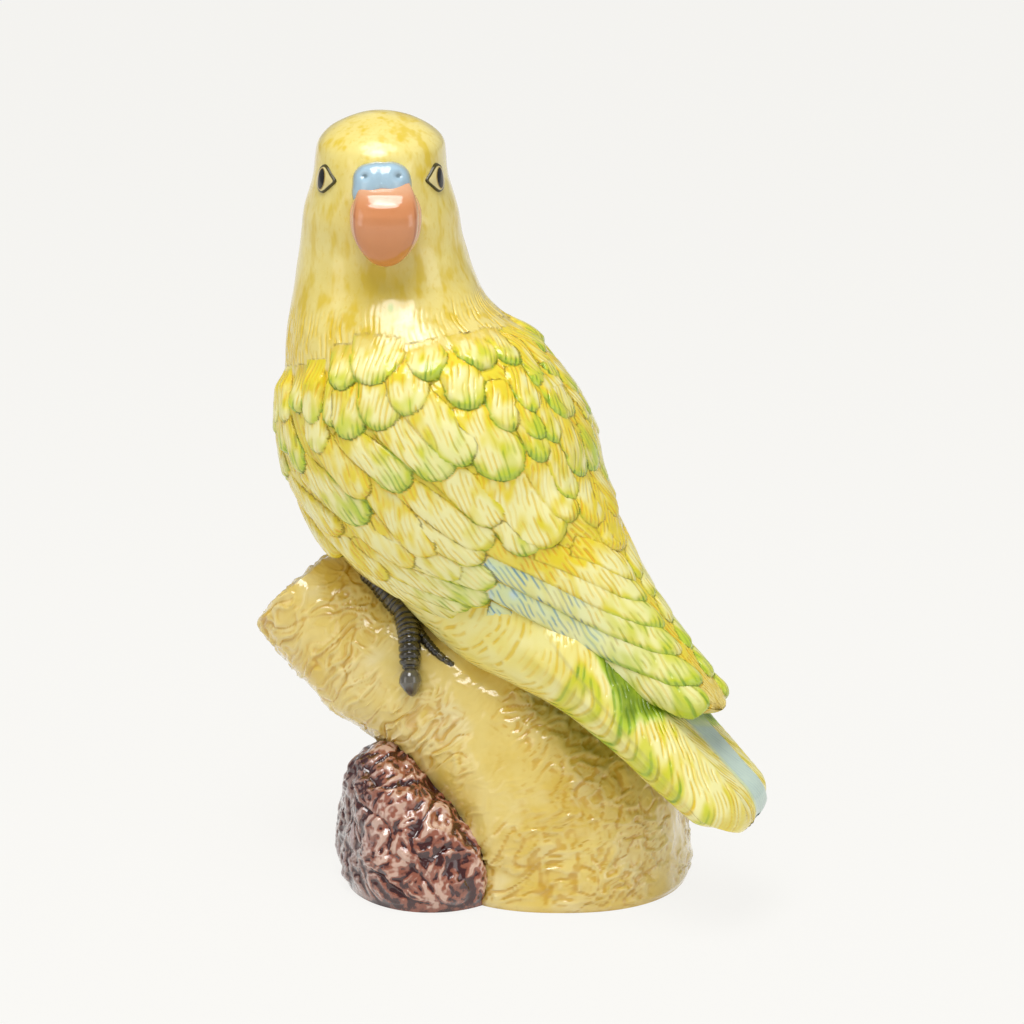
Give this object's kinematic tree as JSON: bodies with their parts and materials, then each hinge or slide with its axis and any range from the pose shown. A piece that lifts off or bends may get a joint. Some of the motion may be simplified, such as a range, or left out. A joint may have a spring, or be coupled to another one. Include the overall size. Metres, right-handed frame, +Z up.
{
  "type": "parrot figurine",
  "caption": "Glazed ceramic parakeet ornament: the bird perches on a sloping tree stump beside a rock, wings folded, tail down, head turned back over its shoulder.",
  "frame": {"origin": "middle of the outline seen from above, on the flat underside", "axes": "+Z up, +X towards the tail, -Y towards the viewer whom the beak faces"},
  "size_m": [0.1556, 0.1106, 0.2374],
  "materials": {
    "painted_glaze": "clear gloss glaze over hand painted yellow, green, blue, salmon and brown"
  },
  "bodies": {
    "root": {"parrot_figurine": "painted_glaze"}
  },
  "joints": []
}
